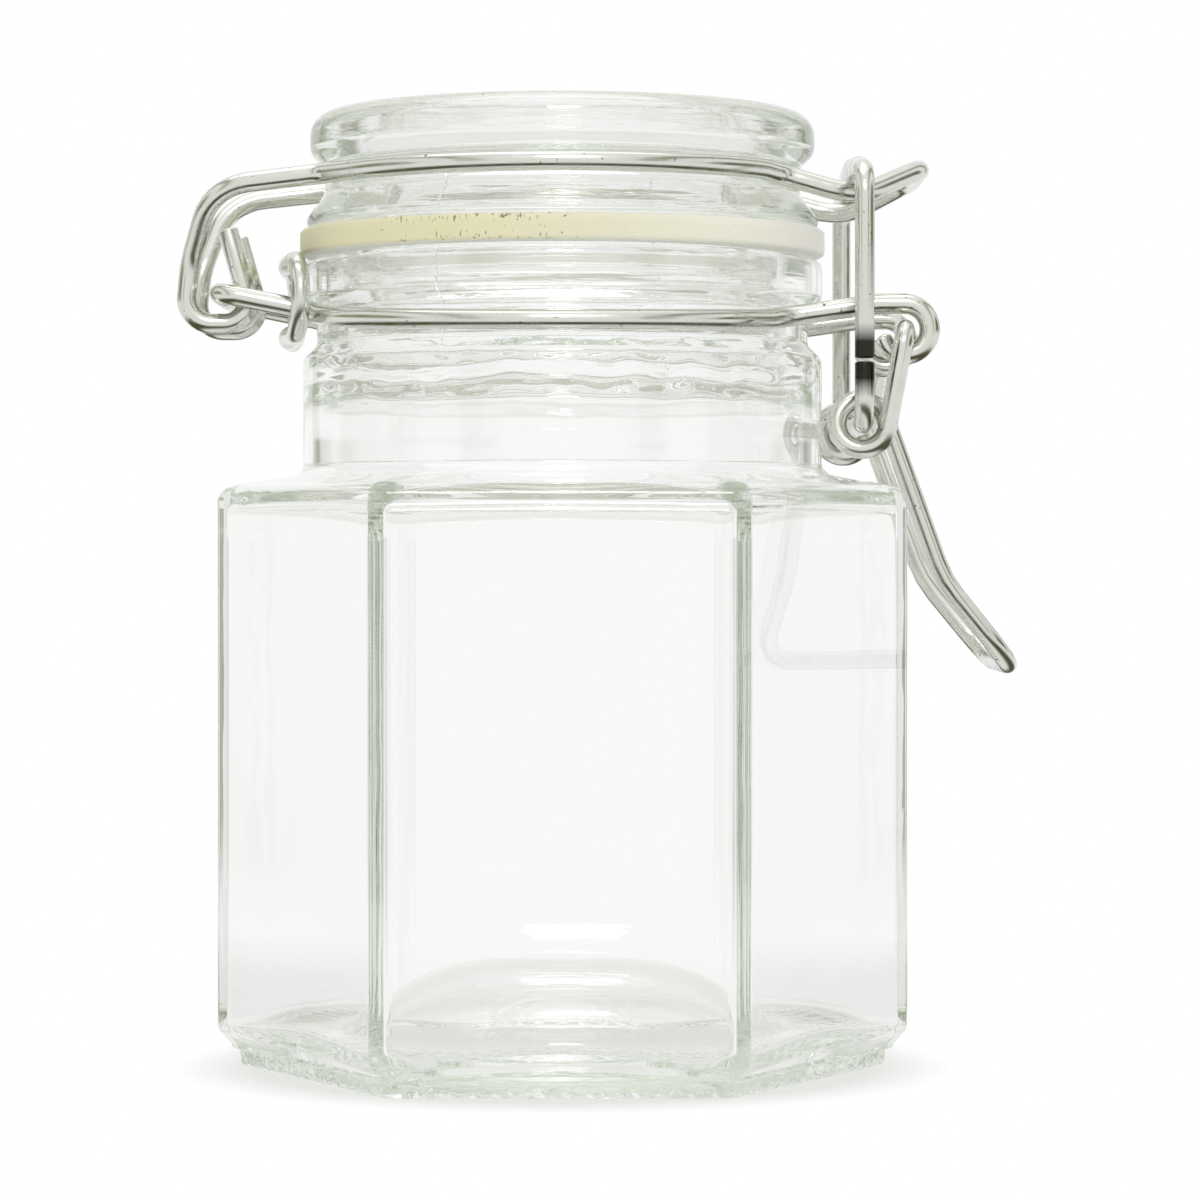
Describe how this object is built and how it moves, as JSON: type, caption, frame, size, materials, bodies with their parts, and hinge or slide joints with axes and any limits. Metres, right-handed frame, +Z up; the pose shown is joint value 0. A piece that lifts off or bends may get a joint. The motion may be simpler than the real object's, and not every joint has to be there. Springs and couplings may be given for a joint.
{
  "type": "spice jar",
  "caption": "Small hexagonal clear glass spice jar with a round neck, a glass lid on a cream rubber gasket, and wire hardware that hinges the lid and clamps it shut.",
  "frame": {"origin": "on the jar's axis, at the level that the foot stands on", "axes": "+Z up along the jar's axis, +X towards the clasp, -X towards the lid's hinge, -Y towards the flat side of the hexagon that faces the viewer"},
  "size_m": [0.0742, 0.0542, 0.0853],
  "materials": {
    "clear_glass": "clear, glossy",
    "cream_rubber": "matt, slightly aged",
    "plated_wire": "bright plated"
  },
  "bodies": {
    "jar": {"jar_body": "clear_glass", "neck_wire": "plated_wire", "neck_ring": "plated_wire"},
    "lid": {"glass_lid": "clear_glass", "rubber_gasket": "cream_rubber", "lid_wire": "plated_wire"},
    "lever": {"clasp_lever": "plated_wire"},
    "link": {"clasp_link": "plated_wire"}
  },
  "joints": [
    {"name": "lid_open", "type": "hinge", "parent": "jar", "child": "lid", "pos_m": [-0.03025, 0, 0.0689], "axis": [0, -1, 0], "range_deg": [0, 180]},
    {"name": "lever_open", "type": "hinge", "parent": "jar", "child": "lever", "pos_m": [0.0298, 0, 0.0654], "axis": [0, -1, 0], "range_deg": [0, 100]},
    {"name": "link_swing", "type": "hinge", "parent": "lever", "child": "link", "pos_m": [0.02605, 0, 0.0571], "axis": [0, -1, 0], "range_deg": [-125, 0]}
  ],
  "couplings": [
    {"joint": "lever_open", "follows": "lid_open", "ratio": 0.555},
    {"joint": "link_swing", "follows": "lid_open", "ratio": -0.694}
  ]
}
